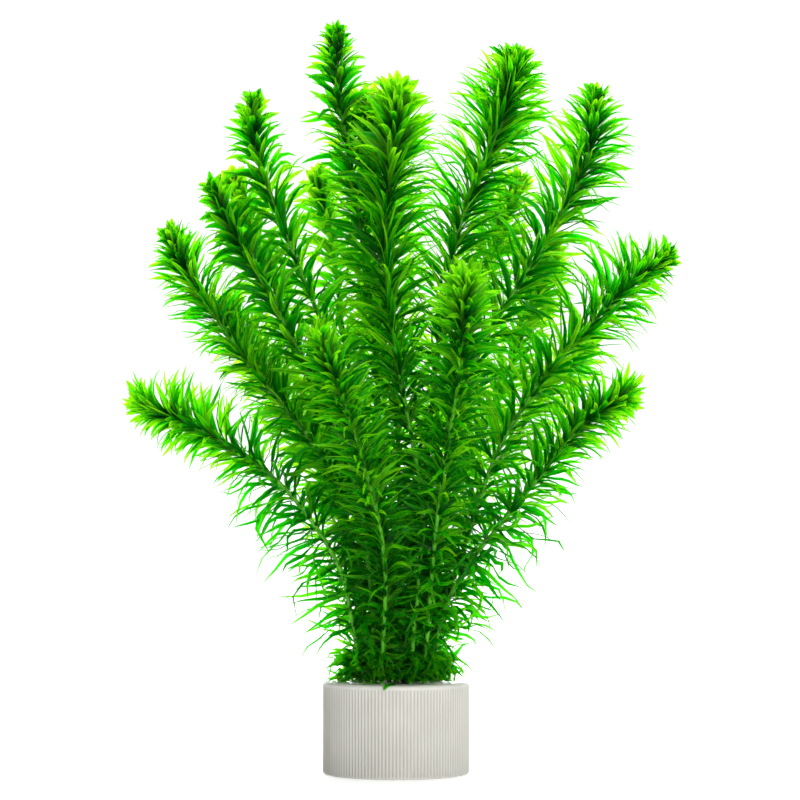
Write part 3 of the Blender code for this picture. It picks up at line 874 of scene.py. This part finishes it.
def stem_green():
    """Soft stem: dark green near its tip, and yellow-green lower down, where a painted highlight makes its
    whorls paler.
    """
    made = bpy.data.materials.new("stem_green")
    made.use_nodes = True
    tree = made.node_tree
    shader = tree.nodes["Principled BSDF"]
    shader.inputs["Roughness"].default_value = 0.45
    shader.inputs["Specular IOR Level"].default_value = 0.2
    place = Reading(tree, tree.nodes.new("ShaderNodeTexCoord").outputs["Object"])
    node = tree.nodes.new("ShaderNodeAttribute")
    node.attribute_name = "node"
    marks = Reading(tree, node.outputs["Vector"])
    swelling, age, old = (marks.part(i) for i in range(3))
    green = blend(tree, age, (0.02, 0.22, 0.008), (0.03, 0.22, 0.006))
    green = blend(tree, old, green, (0.05, 0.28, 0.01))
    green = blend(tree, noise(tree, place, 300.0, 3.0).spread(0.35, 0.7) * 0.4, green, (0.10, 0.40, 0.01))
    # Painted highlight: the swollen whorls low on the stem are made paler, standing in for small glints on them.
    green = blend(tree, swelling * (old * 0.22), green, (0.20, 0.50, 0.03))
    tree.links.new(green.socket, shader.inputs["Base Color"])
    bump(tree, noise(tree, place, 900.0, 2.0), 0.0001, 0.4, shader)
    return made


def stem_line(foot, *above):
    """Smooth line from a stem's foot to its tip, in metres, upright inside the plug."""
    points = [Vector((*foot, STEM_COLLAR))] + [Vector(p) for p in above]
    before = points[0] - Vector((0, 0, (points[1] - points[0]).length))
    ghosts = [before, *points, 2 * points[-1] - points[-2]]
    line = [Vector((*foot, STEM_FOOT)), Vector((*foot, 0.5 * (STEM_FOOT + STEM_COLLAR))), points[0]]
    for a, b, c, d in zip(ghosts, ghosts[1:], ghosts[2:], ghosts[3:]):
        for i in range(1, SPAN_STEPS + 1):
            t = i / SPAN_STEPS
            line.append(0.5 * (2 * b + (c - a) * t + (2 * a - 5 * b + 4 * c - d) * t**2
                               + (3 * b - a - 3 * c + d) * t**3))
    return [p * MM for p in line]


def leaf_count(length, sizes):
    """How many leaves a stem of this length carries, in millimetres, down to just above the pot."""
    first, grown_step, grown_at = (sizes[k] for k in ("Step at tip", "Step when grown", "Grown at"))
    widening = (grown_step - first) / grown_at
    reach = length - sizes["Bare foot"]
    whorls = math.log(1 + widening * min(reach, grown_at) / first) / math.log(1 + widening)
    whorls += max(0, reach - grown_at) / grown_step
    return (int(whorls) + FOOT_WHORLS) * sizes["Leaves in whorl"]


def in_metres(sizes):
    """The shoot's sizes as the plan takes them: lengths in metres and angles in radians."""
    measured = {label: sizes[label] * MM for label in SHOOT_SIZES if label not in PLAIN_NUMBERS}
    measured |= {label: float(sizes[label]) for label in PLAIN_NUMBERS}
    measured |= {label: math.radians(value) for label, value in SHOOT_ANGLES.items()}
    return measured


blade = make_blade()
bpy.context.scene.collection.objects.link(blade)
stem_finish = stem_green()
leaf_finishes = {
    "deep_leaf": leaf_green(
        "leaf_deep_green",
        ((0.0, 0.09, 0.006), (0.001, 0.26, 0.005), (0.015, 0.40, 0.006), (0.24, 0.72, 0.015)),
        ((0.0, 0.42, 0.012), (0.15, 0.85, 0.02), (0.42, 0.90, 0.03), (0.62, 0.93, 0.07)),
    ),
    # Paler copy of the leaf finish for the shoots at the back, with painted light from behind.
    "lime_leaf": leaf_green(
        "leaf_lime_green",
        ((0.01, 0.26, 0.01), (0.06, 0.48, 0.008), (0.22, 0.68, 0.012), (0.55, 0.90, 0.04)),
        ((0.14, 0.62, 0.03), (0.38, 0.86, 0.05), (0.55, 0.90, 0.07), (0.70, 0.92, 0.12)),
    ),
}
shared_sizes = {
    "Leaves": 0,
    "Stem step": 1.2 * MM,
    "Foot in plug": (STEM_COLLAR - STEM_FOOT) * MM,
    "Pot top": POT_HEIGHT * MM,
    "Pot radius": POT_RADIUS * MM,
    "Seed": 0,
    "Blade": blade,
    "Stem finish": stem_finish,
    "Leaf finish": leaf_finishes["deep_leaf"],
}
usual_sizes = SHOOT_SIZES | {"Leaves in whorl": LEAVES_IN_WHORL}
plan = shoot_plan(in_metres(usual_sizes) | shared_sizes)
for number, (name, stem) in enumerate(STEMS.items()):
    kind = next((kind for kind, names in SHOOTS_OF_KIND.items() if name in names), "bushy")
    sizes = usual_sizes | SHOOT_KINDS[kind]
    slot = "lime_leaf" if any(word in name for word in PAINTED_BACKLIT_SHOOTS) else "deep_leaf"
    line = stem_line(*stem)
    above_plug = sum((b - a).length for a, b in zip(line[2:], line[3:])) / MM
    shoot_sizes = in_metres(sizes) | shared_sizes | {
        "Leaves": leaf_count(above_plug, sizes),
        "Seed": 20 * number,
        "Leaf finish": leaf_finishes[slot],
    }
    shoot = made_by(plan, "leafy_" + name, shoot_sizes, line, [(i, i + 1) for i in range(len(line) - 1)])
    shoot.data.shade_smooth()
    shoot.data.set_sharp_from_angle(angle=math.radians(70))
    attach(shoot, "root")
    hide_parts(name)


# Shed leaves: three old leaves, dropped from the shoots, that lie on the pot's top. One is bent down
# over the front of the rim and one, still fresh, is curled up.

SHED_LEAVES = {
    # name: midline from its foot to its tip, the way its upper side faces, width, how lime it is
    "shed_leaf_on_rim": (
        ((-0.2, -19.6, 28.65), (-1.2, -20.8, 28.7), (-2.3, -22.0, 28.65), (-3.1, -22.75, 28.2),
         (-3.4, -22.95, 27.7), (-3.5, -22.98, 27.1)), (0, -0.6, 0.8), 1.5, 0.7),
    "shed_leaf_curled": (
        ((-15.2, -8.0, 28.7), (-16.4, -8.4, 28.8), (-17.5, -8.6, 29.4), (-18.2, -8.4, 30.3),
         (-18.0, -8.0, 31.2)), (0.2, -0.9, 0.45), 1.7, 0.9),
    "shed_leaf_flat": (
        ((-6.2, -16.2, 28.65), (-7.6, -17.2, 28.75), (-9.2, -17.8, 28.8), (-10.6, -17.6, 28.7)),
        (0, -0.3, 0.95), 1.4, 0.75),
}
SHED_AGE = 0.6


def shed_leaf(name, midline, upward, width, tone):
    """The pattern leaf laid along a midline, in millimetres."""
    mesh = blade.data.copy()
    mesh.name = name
    legs = len(midline) - 1
    for vertex in mesh.vertices:
        across, along, thick = vertex.co
        leg = min(int(along * legs), legs - 1)
        start, end = Vector(midline[leg]), Vector(midline[leg + 1])
        ahead = (end - start).normalized()
        beside = ahead.cross(Vector(upward)).normalized()
        middle = start.lerp(end, along * legs - leg)
        vertex.co = (middle + width * (across * beside + thick * beside.cross(ahead))) * MM
    growth = mesh.attributes.new("growth", "FLOAT_VECTOR", "POINT")
    for mark in growth.data:
        mark.vector = (1.0, tone, SHED_AGE)
    mesh.materials.append(leaf_finishes["deep_leaf"])
    mesh.shade_smooth()
    leaf = bpy.data.objects.new(name, mesh)
    bpy.context.scene.collection.objects.link(leaf)
    return leaf


for name, leaf_facts in SHED_LEAVES.items():
    fallen = shed_leaf(name, *leaf_facts)
    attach(fallen, "root")
bpy.data.objects.remove(blade)
